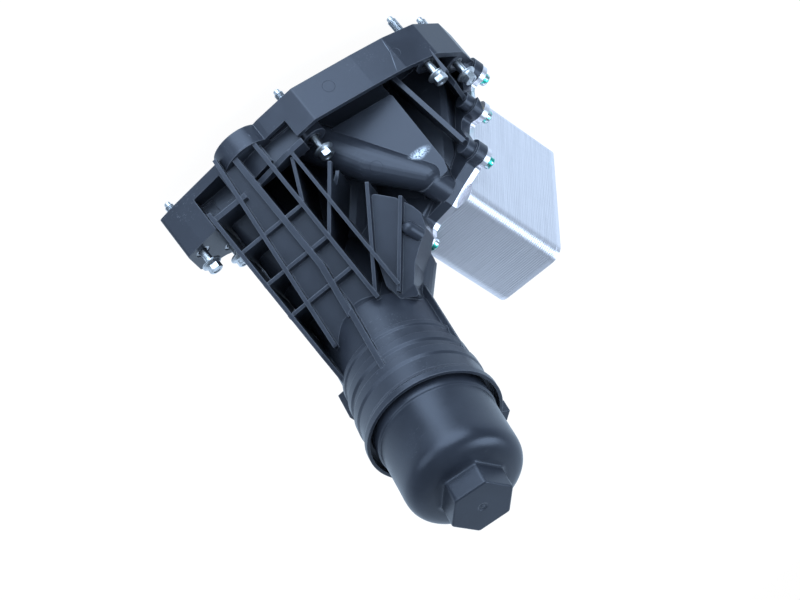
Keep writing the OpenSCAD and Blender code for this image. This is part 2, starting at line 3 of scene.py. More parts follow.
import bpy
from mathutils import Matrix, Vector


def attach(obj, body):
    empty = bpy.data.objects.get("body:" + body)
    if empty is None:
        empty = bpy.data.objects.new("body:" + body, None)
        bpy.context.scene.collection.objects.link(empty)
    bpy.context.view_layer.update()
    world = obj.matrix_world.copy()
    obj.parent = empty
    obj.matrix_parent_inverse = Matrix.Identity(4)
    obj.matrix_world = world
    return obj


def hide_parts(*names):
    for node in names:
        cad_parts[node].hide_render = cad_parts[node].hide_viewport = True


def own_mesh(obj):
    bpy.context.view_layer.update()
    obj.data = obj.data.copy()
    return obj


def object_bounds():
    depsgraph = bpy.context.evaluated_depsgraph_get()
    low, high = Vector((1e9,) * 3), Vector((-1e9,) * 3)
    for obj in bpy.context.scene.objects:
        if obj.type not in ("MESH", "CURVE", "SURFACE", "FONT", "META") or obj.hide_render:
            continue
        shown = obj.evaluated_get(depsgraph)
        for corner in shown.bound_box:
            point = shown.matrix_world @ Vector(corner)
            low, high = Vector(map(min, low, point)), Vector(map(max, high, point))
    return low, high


bl_info = {
    "name": "Oil Filter Module Looks",
    "version": (1, 0, 0),
    "blender": (4, 5, 0),
    "location": "View3D > Sidebar > Filter Module",
    "description": "Dresses a packed oil filter module and sets up its studio",
    "category": "Object",
}

import math

import bmesh
import bpy
from bpy.props import FloatProperty, FloatVectorProperty, IntProperty, PointerProperty
from mathutils import Matrix, Vector

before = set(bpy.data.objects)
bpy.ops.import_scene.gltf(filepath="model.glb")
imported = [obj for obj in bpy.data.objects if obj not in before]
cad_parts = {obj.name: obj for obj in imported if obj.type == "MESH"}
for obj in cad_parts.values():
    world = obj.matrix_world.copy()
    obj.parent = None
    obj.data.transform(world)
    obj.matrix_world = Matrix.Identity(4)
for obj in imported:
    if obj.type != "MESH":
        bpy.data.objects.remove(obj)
CAD_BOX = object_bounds()

# Unit axes and foot of the leaning bowl, in the part's frame
BOWL_AXIS = Vector((0.08214101, -0.42261826, 0.90257779))
BOWL_SIDE = Vector((0.995884, 0.0, -0.090633))
BOWL_FOOT = Vector((0.025, 0.095, 0.0))
# Unit axes of the leaning cooler: along it, across it and out of its pad
COOLER_LONG = Vector((0.435087, -0.518517, 0.736097))
COOLER_WIDE = Vector((0.854347, 0.495826, -0.155715))
COOLER_OUT = Vector((-0.284235, 0.696632, 0.658721))
COOLER_AXES = (COOLER_LONG, COOLER_WIDE, COOLER_OUT)
MM = 0.001
UP = Vector((0.0, 0.0, 1.0))

# Centre and radius of each round ejector mark on the housing, in millimetres
EJECTOR_MARKS = (
    ((-24.1, -0.8, 62.8), 4.2),
    ((-33.2, -24.5, 11.3), 4.0),
    ((-78.5, -5.8, 13.1), 3.4),
    ((24.0, 2.5, 30.0), 3.5),
)
MARK_WIDTH = 0.35 * MM
MARK_DEPTH = 5.0
# Points of the pale flow line on the skirt, in millimetres
FLOW_LINE = ((-77.1, -6.4, 1.5), (-76.0, -6.9, 12.0), (-71.7, -8.7, 25.1))
# Middle of the rubbed patch on the duct's plate, in millimetres, and how fast it fades each way
PATCH_MIDDLE = (-49.5, 3.0, 72.2)
PATCH_FADE = ((110.0, 0.0, -12.0), (0.0, 300.0, 0.0), (20.0, 0.0, 260.0))
SCUFF_COLOUR = (0.16, 0.17, 0.19)
FLOW_COLOUR = (0.3, 0.33, 0.38)
PATCH_COLOUR = (0.55, 0.6, 0.66)
STEEL = (0.5, 0.51, 0.53)
# How tightly the toned layers lie in the plate stack and in the single sheets
STACK_LAYERS = 3200.0
SHEET_LAYERS = 400.0
# Its wear also lightens the edges: partly rubbed wear, partly painted edge highlight.
ELEMENT_FINISH = {"roughness": 0.5, "grain": 0.0004, "edge_round": 0.0004, "wear_and_edge_highlight": 0.1}

SHARP_ANGLE = math.radians(28)
BOLT_HEAD = 0.0066
DISH_DEPTH = 0.0004
BOLT_THREAD_PITCH = 0.001
BOLT_THREAD_DEPTH = 0.00055
CAP_THREAD_DEPTH = 0.0013
CAP_THREAD_FADE = 0.002
# How far each fastener is turned from the one before it
BOLT_TURN = 0.7
SCREW_TURN = 0.8

FLOOR_REACH = 6.0
FLOOR_GLOW = 1.04
FLOOR_GLOW_SHARE = 0.93
COOL_WHITE = (0.62, 0.79, 1.0)
# Each lamp: its name, place from the middle of the part, width, and share of which power
LAMPS = (
    ("key", (-0.3, -0.9, -0.47), 1.15, 1.0, "key_power"),
    ("top", (-0.14, -0.42, -1.0), 0.6, 0.35, "fill_power"),
    ("right", (-0.55, -0.35, 0.89), 0.75, 1.2, "fill_power"),
    ("left", (0.6, -0.85, -0.25), 0.7, 0.4, "fill_power"),
)
# What polished faces mirror is dim on the viewer's side and bright beyond the part
VIEW_AHEAD = (0.023, 0.951, -0.309)
MIRROR_RANGE = (-0.35, 0.5)
MIRROR_LIGHT = (0.22, 1.25)
SENSOR_WIDTH = 36.0
CAMERA_SPOT = (-0.00992, -1.02937, 0.47366)
CAMERA_AXES = (
    (-0.776878, 0.211728, 0.592986),
    (-0.629233, -0.226730, -0.743411),
    (-0.022953, -0.950666, 0.309367),
)


# Node helpers


def add_node(tree, kind, **values):
    """A new node; keys that name an input set its value, the others set a property."""
    node = tree.nodes.new("ShaderNode" + kind)
    for key, value in values.items():
        if hasattr(node, key):
            setattr(node, key, value)
        else:
            node.inputs[key.replace("_", " ").title()].default_value = value
    return node


def join(tree, *pairs):
    for source, target in pairs:
        tree.links.new(source, target)


def new_group(name, inputs, outputs):
    """An empty node group with its named sockets; returns the group and its two end nodes."""
    group = bpy.data.node_groups.new(name, "ShaderNodeTree")
    for label, kind, value in inputs:
        socket = group.interface.new_socket(label, in_out="INPUT", socket_type="NodeSocket" + kind)
        if value is not None:
            socket.default_value = value
    for label, kind in outputs:
        group.interface.new_socket(label, in_out="OUTPUT", socket_type="NodeSocket" + kind)
    start = group.nodes.new("NodeGroupInput")
    end = group.nodes.new("NodeGroupOutput")
    return group, start, end


def feed(tree, socket, value):
    """Links an output to the socket, or sets the socket to a plain value."""
    if hasattr(value, "is_output"):
        tree.links.new(value, socket)
    else:
        socket.default_value = value


def math_node(tree, operation, a, b=None, clamp=False):
    node = add_node(tree, "Math", operation=operation, use_clamp=clamp)
    for socket, value in zip(node.inputs, (a, b)):
        if value is not None:
            feed(tree, socket, value)
    return node.outputs[0]


def ramp(tree, value, low, high, to_low=0.0, to_high=1.0):
    """A smooth step of value from low to high."""
    node = add_node(tree, "MapRange", interpolation_type="SMOOTHSTEP")
    labels = ("Value", "From Min", "From Max", "To Min", "To Max")
    for label, number in zip(labels, (value, low, high, to_low, to_high)):
        feed(tree, node.inputs[label], number)
    return node.outputs["Result"]


def blend_colour(tree, factor, a, b):
    """Mix of two colours, each an output or a plain tuple."""
    node = add_node(tree, "Mix", data_type="RGBA")
    colours = [socket for socket in node.inputs if socket.type == "RGBA"]
    feed(tree, node.inputs["Factor"], factor)
    for socket, value in zip(colours, (a, b)):
        feed(tree, socket, (*value, 1.0) if isinstance(value, tuple) else value)
    return next(socket for socket in node.outputs if socket.type == "RGBA")


def noise(tree, where, scale, detail, roughness=0.5, distortion=0.0):
    node = add_node(tree, "TexNoise", detail=detail, roughness=roughness, distortion=distortion)
    feed(tree, node.inputs["Vector"], where)
    feed(tree, node.inputs["Scale"], scale)
    return node.outputs["Fac"]


def stretch(tree, where, scale, rotation=(0.0, 0.0, 0.0)):
    """Coordinates that are turned and scaled by a different amount on each axis."""
    node = add_node(tree, "Mapping", scale=scale, rotation=rotation)
    join(tree, (where, node.inputs["Vector"]))
    return node.outputs["Vector"]


def vector_node(tree, operation, output, *values):
    node = add_node(tree, "VectorMath", operation=operation)
    for socket, value in zip(node.inputs, values):
        feed(tree, socket, value)
    return node.outputs[output]


# Shared effects


def soft_edge_group():
    """Edges rounded in shading, with a mask along them."""
    group, start, end = new_group(
        "Soft Edges",
        [("Radius", "Float", 0.0006), ("Sharpness", "Float", 6.0)],
        [("Normal", "Vector"), ("Edge", "Float")],
    )
    rounded = add_node(group, "Bevel", samples=6)
    flat = add_node(group, "NewGeometry").outputs["Normal"]
    normal = rounded.outputs["Normal"]
    away = math_node(group, "SUBTRACT", 1.0, vector_node(group, "DOT_PRODUCT", "Value", normal, flat))
    mask = math_node(group, "MULTIPLY", away, start.outputs["Sharpness"], clamp=True)
    join(
        group,
        (start.outputs["Radius"], rounded.inputs["Radius"]),
        (normal, end.inputs["Normal"]),
        (mask, end.inputs["Edge"]),
    )
    return group


def grain_group():
    """Spark-eroded mould grain: a fine height and a slow mottle."""
    group, start, end = new_group(
        "Mould Grain",
        [("Vector", "Vector", None), ("Grain", "Float", 2600.0), ("Mottle Size", "Float", 55.0)],
        [("Height", "Float"), ("Mottle", "Float")],
    )
    fine = noise(group, start.outputs["Vector"], start.outputs["Grain"], 3.0, 0.6)
    coarse = noise(group, start.outputs["Vector"], start.outputs["Mottle Size"], 4.0, 0.55)
    join(group, (fine, end.inputs["Height"]), (ramp(group, coarse, 0.3, 0.7), end.inputs["Mottle"]))
    return group


def scuff_group():
    """Thin handling scratches in patches."""
    group, start, end = new_group(
        "Handling Scuffs",
        [("Vector", "Vector", None), ("Amount", "Float", 0.5)],
        [("Scuff", "Float")],
    )
    where = start.outputs["Vector"]
    patch = noise(group, where, 38.0, 2.0)
    lines = noise(group, stretch(group, where, (1.0, 14.0, 14.0), (0.4, 0.9, 0.3)), 150.0, 3.0, 0.5, 0.4)
    both = math_node(group, "MULTIPLY", ramp(group, patch, 0.55, 0.72), ramp(group, lines, 0.62, 0.72))
    scuff = math_node(group, "MULTIPLY", both, start.outputs["Amount"], clamp=True)
    join(group, (scuff, end.inputs["Scuff"]))
    return group


def turned_group():
    """Position measured along three given axes from an origin."""
    labels = ("Vector", "Origin", "Axis X", "Axis Y", "Axis Z")
    group, start, end = new_group(
        "Turned Position", [(label, "Vector", None) for label in labels], [("Vector", "Vector")]
    )
    away = vector_node(group, "SUBTRACT", "Vector", start.outputs["Vector"], start.outputs["Origin"])
    gather = add_node(group, "CombineXYZ")
    for letter in "XYZ":
        along = vector_node(group, "DOT_PRODUCT", "Value", away, start.outputs["Axis " + letter])
        join(group, (along, gather.inputs[letter]))
    join(group, (gather.outputs["Vector"], end.inputs["Vector"]))
    return group


def round_mark_group():
    """Mask of a thin ring round a centre."""
    group, start, end = new_group(
        "Round Mark",
        [("Vector", "Vector", None), ("Centre", "Vector", None)]
        + [("Radius", "Float", 0.004), ("Width", "Float", 0.0003)],
        [("Ring", "Float")],
    )
    distance = vector_node(group, "DISTANCE", "Value", start.outputs["Vector"], start.outputs["Centre"])
    away = math_node(group, "ABSOLUTE", math_node(group, "SUBTRACT", distance, start.outputs["Radius"]))
    share = math_node(group, "DIVIDE", away, start.outputs["Width"])
    join(group, (ramp(group, share, 0.0, 1.0, 1.0, 0.0), end.inputs["Ring"]))
    return group


def shared(name):
    """The shared effect of that name, built the first time that it is asked for."""
    makers = {
        "Soft Edges": soft_edge_group,
        "Mould Grain": grain_group,
        "Handling Scuffs": scuff_group,
        "Turned Position": turned_group,
        "Round Mark": round_mark_group,
    }
    return bpy.data.node_groups.get(name) or makers[name]()


def place(tree, name, **values):
    """A shared effect in a material, with its values or links by name."""
    node = tree.nodes.new("ShaderNodeGroup")
    node.node_tree = shared(name)
    for key, value in values.items():
        feed(tree, node.inputs[key.replace("_", " ").title()], value)
    return node


def turned_place(tree, where, axes, origin=(0.0, 0.0, 0.0)):
    x, y, z = axes
    node = place(tree, "Turned Position", vector=where, origin=origin, axis_x=x, axis_y=y, axis_z=z)
    return node.outputs["Vector"]


def new_material(name):
    """An empty material with its shader and the object's own coordinates."""
    material = bpy.data.materials.new(name)
    material.use_nodes = True
    tree = material.node_tree
    tree.nodes.clear()
    shader = add_node(tree, "BsdfPrincipled")
    output = add_node(tree, "OutputMaterial")
    where = add_node(tree, "TexCoord").outputs["Object"]
    join(tree, (shader.outputs["BSDF"], output.inputs["Surface"]))
    return material, tree, shader, where


def bump(tree, height, strength, depth, normal=None):
    node = add_node(tree, "Bump", strength=strength, distance=depth)
    join(tree, (height, node.inputs["Height"]))
    if normal is not None:
        join(tree, (normal, node.inputs["Normal"]))
    return node.outputs["Normal"]


def finish_surface(tree, shader, tone, shine, relief):
    """Feeds the shader its colour, roughness and normal."""
    for label, output in (("Base Color", tone), ("Roughness", shine), ("Normal", relief)):
        join(tree, (output, shader.inputs[label]))


# Materials


def moulded_plastic(name, colour, roughness, grain, edge_round, wear_and_edge_highlight, line_width=None):
    """Satin glass-filled plastic; with a line width it also has the housing's own marks."""
    material, tree, shader, where = new_material(name)
    edges = place(tree, "Soft Edges", radius=edge_round)
    skin = place(tree, "Mould Grain", vector=where, grain=1.0 / grain)
    scuff = place(tree, "Handling Scuffs", vector=where, amount=wear_and_edge_highlight).outputs["Scuff"]
    height, mottle = skin.outputs["Height"], skin.outputs["Mottle"]
    lighter = tuple(c * 1.25 for c in colour)
    # Painted edge highlight: the colour is made lighter along every rounded edge, inner creases too. On
    # outer edges it also stands for rubbed wear.
    rubbed_and_highlit = tuple(min(1.0, c * 3.0 + 0.09) for c in colour)
    tone = blend_colour(tree, mottle, tuple(colour), lighter)
    tone = blend_colour(tree, math_node(tree, "MULTIPLY", edges.outputs["Edge"], wear_and_edge_highlight), tone, rubbed_and_highlit)
    tone = blend_colour(tree, scuff, tone, SCUFF_COLOUR)
    if line_width is not None:
        tone, height = mould_marks(tree, where, tone, height, line_width)
    shine = ramp(tree, mottle, 0.0, 1.0, roughness - 0.02, roughness + 0.03)
    shine = math_node(tree, "ADD", shine, math_node(tree, "MULTIPLY", scuff, 0.15), clamp=True)
    finish_surface(tree, shader, tone, shine, bump(tree, height, 0.25, 0.00012, edges.outputs["Normal"]))
    shader.inputs["Specular Tint"].default_value = (0.84, 0.88, 1.0, 1.0)
    return material


def mould_marks(tree, where, tone, height, line_width):
    """Adds the pressed ejector rings, the pale flow line and the rubbed patch of the housing."""
    rings = 0.0
    for centre, radius in EJECTOR_MARKS:
        spot = {"centre": Vector(centre) * MM, "radius": radius * MM, "width": MARK_WIDTH}
        mark = place(tree, "Round Mark", vector=where, **spot)
        rings = math_node(tree, "MAXIMUM", rings, mark.outputs["Ring"])
    height = math_node(tree, "SUBTRACT", height, math_node(tree, "MULTIPLY", rings, MARK_DEPTH))
    for start, end in zip(FLOW_LINE, FLOW_LINE[1:]):
        mark = math_node(tree, "MULTIPLY", streak(tree, where, start, end, line_width), 0.4)
        tone = blend_colour(tree, mark, tone, FLOW_COLOUR)
    patch = turned_place(tree, where, PATCH_FADE, Vector(PATCH_MIDDLE) * MM)
    near = ramp(tree, vector_node(tree, "LENGTH", "Value", patch), 0.15, 1.15, 1.0, 0.0)
    torn = ramp(tree, noise(tree, where, 900.0, 4.0, 0.7), 0.38, 0.55)
    mask = math_node(tree, "MULTIPLY", math_node(tree, "MULTIPLY", near, torn), 0.9)
    return blend_colour(tree, mask, tone, PATCH_COLOUR), height


def streak(tree, where, start, end, width):
    """Mask of a thin straight line on the skin, from one point to another."""
    start, end = Vector(start) * MM, Vector(end) * MM
    along = end - start
    across = Vector((along.y, -along.x, 0.0)).normalized()
    thick = along.cross(across).normalized() / (width * 0.9)
    axes = (along * (1.5 / along.length_squared), across / width, thick)
    line = turned_place(tree, where, axes, (start + end) / 2)
    return ramp(tree, vector_node(tree, "LENGTH", "Value", line), 0.4, 1.0, 1.0, 0.0)


def brazed_aluminium(name, look, layer_scale, layer_tone):
    """Brazed metal: a rolled sheen across the plates, and toned layers and stains along them."""
    material, tree, shader, where = new_material(name)
    turned = turned_place(tree, where, COOLER_AXES)
    edges = place(tree, "Soft Edges", radius=look.edge_round)
    layers = noise(tree, stretch(tree, turned, (25.0, 25.0, layer_scale)), 1.0, 3.0, 0.6)
    sheen = noise(tree, stretch(tree, turned, (900.0, 900.0, 18.0)), 1.0, 4.0, 0.6)
    stain = noise(tree, turned, 45.0, 4.0, 0.6)
    dull = tuple(c * layer_tone for c in look.colour)
    tone = blend_colour(tree, ramp(tree, layers, 0.35, 0.65), dull, tuple(look.colour))
    tone = blend_colour(tree, ramp(tree, stain, 0.6, 0.75, 0.0, 0.35), tone, dull)
    shine = ramp(tree, sheen, 0.3, 0.7, look.roughness - 0.05, look.roughness + 0.05)
    height = math_node(tree, "ADD", layers, math_node(tree, "MULTIPLY", sheen, 0.5))
    finish_surface(tree, shader, tone, shine, bump(tree, height, 0.15, 0.00015, edges.outputs["Normal"]))
    shader.inputs["Metallic"].default_value = look.metal
    return material


def plated_metal(name, colour, roughness, tint=None):
    """Plated or turned metal: fine scratches, a slow cloud and, on screws, a locking-fluid tint."""
    material, tree, shader, where = new_material(name)
    edges = place(tree, "Soft Edges", radius=0.0002)
    cloud = noise(tree, where, 320.0, 4.0, 0.6)
    scratch = noise(tree, where, 2400.0, 3.0, 0.7)
    dull = tuple(c * 0.6 for c in colour)
    tone = blend_colour(tree, ramp(tree, cloud, 0.35, 0.7), tuple(colour), dull)
    if tint is not None:
        tone = blend_colour(tree, ramp(tree, cloud, 0.47, 0.55, 0.0, 0.9), tone, tuple(tint))
    shine = ramp(tree, cloud, 0.3, 0.7, roughness - 0.06, roughness + 0.12)
    finish_surface(tree, shader, tone, shine, bump(tree, scratch, 0.2, 0.00006, edges.outputs["Normal"]))
    shader.inputs["Metallic"].default_value = 1.0
    return material


def rubber_skin():
    material, tree, shader, where = new_material("seal_rubber")
    skin = place(tree, "Mould Grain", vector=where, grain=1500.0, mottle_size=90.0)
    mottle = skin.outputs["Mottle"]
    tone = blend_colour(tree, mottle, (0.012, 0.012, 0.013), (0.026, 0.026, 0.028))
    shine = ramp(tree, mottle, 0.0, 1.0, 0.42, 0.58)
    finish_surface(tree, shader, tone, shine, bump(tree, skin.outputs["Height"], 0.2, 0.0001))
    return material


def pleat_paper(look):
    """Filter paper with felt fibres and darker blotches."""
    material, tree, shader, where = new_material("pleat_paper")
    fibre = noise(tree, stretch(tree, where, (1.0, 1.0, 0.2)), 1800.0, 5.0, 0.75)
    blotch = noise(tree, where, 120.0, 3.0)
    dark = tuple(c * 0.7 for c in look.paper)
    tone = blend_colour(tree, ramp(tree, fibre, 0.35, 0.65), dark, tuple(look.paper))
    tone = blend_colour(tree, ramp(tree, blotch, 0.5, 0.8, 0.0, 0.4), tone, dark)
    shine = ramp(tree, fibre, 0.3, 0.7, 0.8, 0.95)
    finish_surface(tree, shader, tone, shine, bump(tree, fibre, 0.5, 0.0003))
    return material


def dress(material, *nodes):
    """Gives CAD nodes that material."""
    for name in nodes:
        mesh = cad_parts[name].data
        mesh.materials.clear()
        mesh.materials.append(material)


# Mesh helpers


def new_mesh(name, bm, material):
    mesh = bpy.data.meshes.new(name)
    bm.to_mesh(mesh)
    bm.free()
    mesh.materials.append(material)
    return mesh


def new_object(name, data):
    thing = bpy.data.objects.new(name, data)
    bpy.context.scene.collection.objects.link(thing)
    return thing


def finish_piece(name, bm, material, body):
    """A smooth mesh piece in the part's frame that rides on a body."""
    mesh = new_mesh(name, bm, material)
    mesh.shade_smooth()
    mesh.set_sharp_from_angle(angle=SHARP_ANGLE)
    piece = new_object(name, mesh)
    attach(piece, body)
    return piece


def hang_copies(mesh, places, node):
    """One fastener at each place, all with one mesh; together they stand for the CAD node."""
    for number, spot in enumerate(places):
        piece = new_object("%s_%d" % (mesh.name, number + 1), mesh)
        piece.matrix_world = spot
        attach(piece, "module")
        if number == 0:
            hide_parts(node)


def box_of(points):
    """Lowest and highest corner round some points."""
    low, high = ([side(values) for values in zip(*points)] for side in (min, max))
    return Vector(low), Vector(high)


def join_loops(bm, low, high):
    """Closes the band between two loops of points."""
    for i in range(len(low)):
        j = (i + 1) % len(low)
        bm.faces.new((low[i], low[j], high[j], high[i]))


def skin_rings(bm, rings):
    """Joins rings of points, each the same length, into one closed skin."""
    loops = [[bm.verts.new(p) for p in ring] for ring in rings]
    for low, high in zip(loops, loops[1:]):
        join_loops(bm, low, high)
    bm.faces.new(loops[0][::-1])
    bm.faces.new(loops[-1])


def around(count):
    return [2 * math.pi * i / count for i in range(count)]


def round_ring(radius, z, count):
    return [(radius * math.cos(a), radius * math.sin(a), z) for a in around(count)]


def turned_skin(bm, outline, count):
    """Solid turned from an open outline of radii and heights, with flat ends."""
    skin_rings(bm, [round_ring(radius, z, count) for radius, z in outline])


def turned_ring(bm, outline, count):
    """Ring turned from a closed outline of radii and heights."""
    loops = [[bm.verts.new(p) for p in round_ring(radius, z, count)] for radius, z in outline]
    for low, high in zip(loops, loops[1:] + loops[:1]):
        join_loops(bm, low, high)


def hex_reach(angle, flats):
    """Distance from the middle of a hexagon to its side at that angle."""
    turn = (angle + math.pi / 6) % (math.pi / 3) - math.pi / 6
    return flats / 2 / math.cos(turn)


def add_hex_head(bm, flats, low, high, count=96):
    """Hexagon head with its round chamfer and shallow dished top."""
    chamfer = flats / 2 * 0.97
    dish, floor = 0.7 * chamfer, high - DISH_DEPTH
    side, top = [], []
    for a in around(count):
        r = hex_reach(a, flats)
        drop = max(0.0, r - chamfer) * 0.58
        side.append((r * math.cos(a), r * math.sin(a), low))
        top.append((r * math.cos(a), r * math.sin(a), high - drop))
    rows = ((chamfer, high), (dish, high), (dish * 0.92, floor), (dish * 0.1, floor))
    skin_rings(bm, [side, top] + [round_ring(r, z, count) for r, z in rows])


def pointed(crest):
    return 1 - crest


def blunt(crest):
    return min(1.0, 1.6 * crest)


def thread_ring(radius, depth, shape, pitch, z, count):
    """Ring of a screw thread at one height, cut below the radius as the shape says."""
    ring = []
    for a in around(count):
        crest = abs(2 * ((z / pitch - a / (2 * math.pi)) % 1.0) - 1)
        r = radius - depth * shape(crest)
        ring.append((r * math.cos(a), r * math.sin(a), z))
    return ring


def add_thread(bm, radius, low, high, count=28, steps=6):
    """Helical thread on a rod between two heights, fading out at both ends."""
    levels = max(2, int((high - low) / BOLT_THREAD_PITCH * steps))
    rings = []
    for level in range(levels + 1):
        z = low + (high - low) * level / levels
        fade = min(1.0, (z - low) / BOLT_THREAD_PITCH, (high - z) / BOLT_THREAD_PITCH)
        depth = BOLT_THREAD_DEPTH * max(0.0, fade)
        rings.append(thread_ring(radius, depth, pointed, BOLT_THREAD_PITCH, z, count))
    skin_rings(bm, rings)


def flange_bolt_mesh(size, length):
    """One flange bolt, its under-head face at z = 0: point, thread, neck, washer face and head."""
    bm = bmesh.new()
    r, washer, flat, tip = size.shank / 2, size.washer / 2, size.flats / 2, -length
    rows = [(r * 0.62, tip), (r * 0.7, tip + 0.0004), (r * 0.7, tip + 0.0022), (r * 0.9, tip + 0.003)]
    turned_skin(bm, rows, 40)
    add_thread(bm, r, tip + 0.0028, tip + 0.022)
    turned_skin(bm, [(r * 0.88, tip + 0.021), (r * 0.88, -0.0012), (r * 1.1, 0.0001)], 40)
    rows = [(washer - 0.0005, 0.0), (washer - 0.0001, 0.0003), (washer, 0.0008), (washer - 0.0002, 0.0013)]
    rows += [(washer - 0.0008, 0.0016), (flat + 0.0009, 0.0024), (flat + 0.0002, 0.0028)]
    turned_skin(bm, rows, 64)
    add_hex_head(bm, size.flats, 0.0018, BOLT_HEAD)
    return bm


def smooth_rows(rows, steps=5):
    """Rounded profile that runs through its own points."""
    out = []
    for k in range(len(rows) - 1):
        before, start, end = rows[max(k - 1, 0)], rows[k], rows[k + 1]
        after = rows[min(k + 2, len(rows) - 1)]
        for step in range(steps):
            t = step / steps
            point = []
            for a, b, c, d in zip(before, start, end, after):
                square, cube = 2 * a - 5 * b + 4 * c - d, 3 * b - a - 3 * c + d
                point.append(0.5 * (2 * b + (c - a) * t + square * t * t + cube * t ** 3))
            out.append(tuple(point))
    return out + [rows[-1]]


def cap_mesh(look, count=144):
    """Screw cap: hollow body, seal groove, thread, grip rim, round shoulder and hexagon."""
    r, base, top = look.radius, look.hex_base, look.hex_base + look.hex_height
    mouth, wall = look.rim_height, look.wall
    # Each outline is a row of radii and heights, in the order of one walk from the inside to the top
    inside = [(0.0005, base - 0.0036), (0.014, base - 0.0036), (r - 0.012, base - 0.0044)]
    inside += [(r - 0.006, base - 0.007), (r - wall, base - 0.0115)]
    inside += [(r - wall, mouth - 0.026), (r - 0.0066, mouth - 0.029)]
    nose = [(r - 0.0066, mouth - 0.0384), (r - 0.0058, mouth - 0.0394), (r - 0.0028, mouth - 0.0394)]
    groove = [(r - 0.002, mouth - 0.038), (r - 0.002, mouth - 0.0341), (r - 0.0047, mouth - 0.0341)]
    groove += [(r - 0.0047, mouth - 0.0311), (r - 0.002, mouth - 0.0311), (r - 0.002, mouth - 0.0268)]
    rim = [(r + 0.0001, mouth - 0.008), (r + 0.0011, mouth - 0.008), (r + 0.0011, mouth + 0.0034)]
    rim += [(r + 0.0008, mouth + 0.0042), (r + 0.0002, mouth + 0.0048), (r + 0.00005, mouth + 0.0058)]
    shoulder = [(r, base - 0.022), (r, base - 0.0125), (r - 0.0009, base - 0.0077)]
    shoulder += [(r - 0.0032, base - 0.0041), (r - 0.0070, base - 0.0018)]
    shoulder += [(r - 0.0115, base - 0.0006), (r - 0.0143, base - 0.0002)]
    rings = [round_ring(q, z, count) for q, z in inside + nose + groove]
    low, high = mouth - 0.0246, mouth - 0.0082
    levels = round((high - low) / look.thread_pitch * 8)
    for level in range(levels + 1):
        z = low + (high - low) * level / levels
        fade = max(0.0, min(1.0, (z - low) / CAP_THREAD_FADE, (high - z) / CAP_THREAD_FADE))
        depth = CAP_THREAD_DEPTH * fade
        rings.append(thread_ring(r + 0.0001, depth, blunt, look.thread_pitch, z, count))
    rings += [round_ring(q, z, count) for q, z in rim + smooth_rows(shoulder)]
    corner = look.hex_flats / math.sqrt(3) - 0.0003

    def hex_ring(share, z):
        reach = [share * min(corner, hex_reach(a + math.pi / 6, look.hex_flats)) for a in around(count)]
        return [(q * math.cos(a), q * math.sin(a), z) for q, a in zip(reach, around(count))]

    foot = ((1.06, 0.0002), (1.025, 0.0006), (1.006, 0.0012), (1.0, 0.002))
    rings += [hex_ring(share, base + rise) for share, rise in foot]
    head = ((1.0, 0.0008), (0.985, 0.0003), (0.96, 0.0), (0.5, 0.0))
    rings += [hex_ring(share, top - sink) for share, sink in head]
    dimple = ((0.0030, 0.0), (0.0026, 0.0004), (0.0012, 0.0005), (0.0009, 0.0001), (0.0003, 0.0001))
    rings += [round_ring(q, top - sink, count) for q, sink in dimple]
    bm = bmesh.new()
    skin_rings(bm, rings)
    # Socket that holds the element's hub
    hub, low, high = look.hub_radius, base - 0.021, base - 0.0025
    turned_ring(bm, [(hub + 0.003, low), (hub + 0.003, high), (hub, high), (hub, low)], 48)
    bm.transform(bowl_turn())
    return bm


def bowl_turn():
    """From the bowl's own axes, with z along the filter, to the part's frame."""
    turn = Matrix((BOWL_SIDE, BOWL_AXIS.cross(BOWL_SIDE), BOWL_AXIS)).transposed().to_4x4()
    return Matrix.Translation(BOWL_FOOT) @ turn


def spring_mesh(look):
    """Coil spring of the bypass valve, between its retainer and the poppet."""
    bm = bmesh.new()
    steps, wire = 48 * look.turns, look.wire
    low, high = look.spring_foot + wire, look.spring_foot + look.spring_length - wire
    rings = []
    for k in range(steps + 1):
        a = 2 * math.pi * look.turns * k / steps
        middle = Vector((look.coil * math.cos(a), look.coil * math.sin(a), low + (high - low) * k / steps))
        out = Vector((math.cos(a), math.sin(a), 0.0))
        rings.append([middle + wire * (math.cos(b) * out + math.sin(b) * UP) for b in around(12)])
    skin_rings(bm, rings)
    bm.transform(bowl_turn())
    return bm


def block_ring(low, high, inset, corner, level, steps=10):
    """Rounded rectangle between two corners, drawn in by an inset, at one level."""
    ring = []
    r = corner - inset
    for quarter, (right, top) in enumerate(((1, 1), (0, 1), (0, 0), (1, 0))):
        x = (high.x - corner) if right else (low.x + corner)
        y = (high.y - corner) if top else (low.y + corner)
        for step in range(steps + 1):
            a = math.pi / 2 * (quarter + step / steps)
            ring.append(cooler_point(x + r * math.cos(a), y + r * math.sin(a), level))
    return ring


def cooler_point(x, y, z):
    """A point given along the cooler's own axes, in the part's frame."""
    return COOLER_LONG * x + COOLER_WIDE * y + COOLER_OUT * z


def plate_stack_mesh(low, high, look):
    """Stack of nested plates: rolled rims with a fine groove at each joint."""
    bm = bmesh.new()
    count = max(2, round((high.z - low.z) / look.plate_pitch))
    pitch = (high.z - low.z) / count
    rings = []
    for k in range(count):
        base = low.z + k * pitch
        for share, inset in ((0.0, 1.0), (0.14, 0.3), (0.3, 0.0), (0.8, 0.12), (0.96, 0.45)):
            rings.append(block_ring(low, high, look.groove * inset, look.corner, base + share * pitch))
    rings.append(block_ring(low, high, look.groove, look.corner, high.z))
    skin_rings(bm, rings)
    return bm


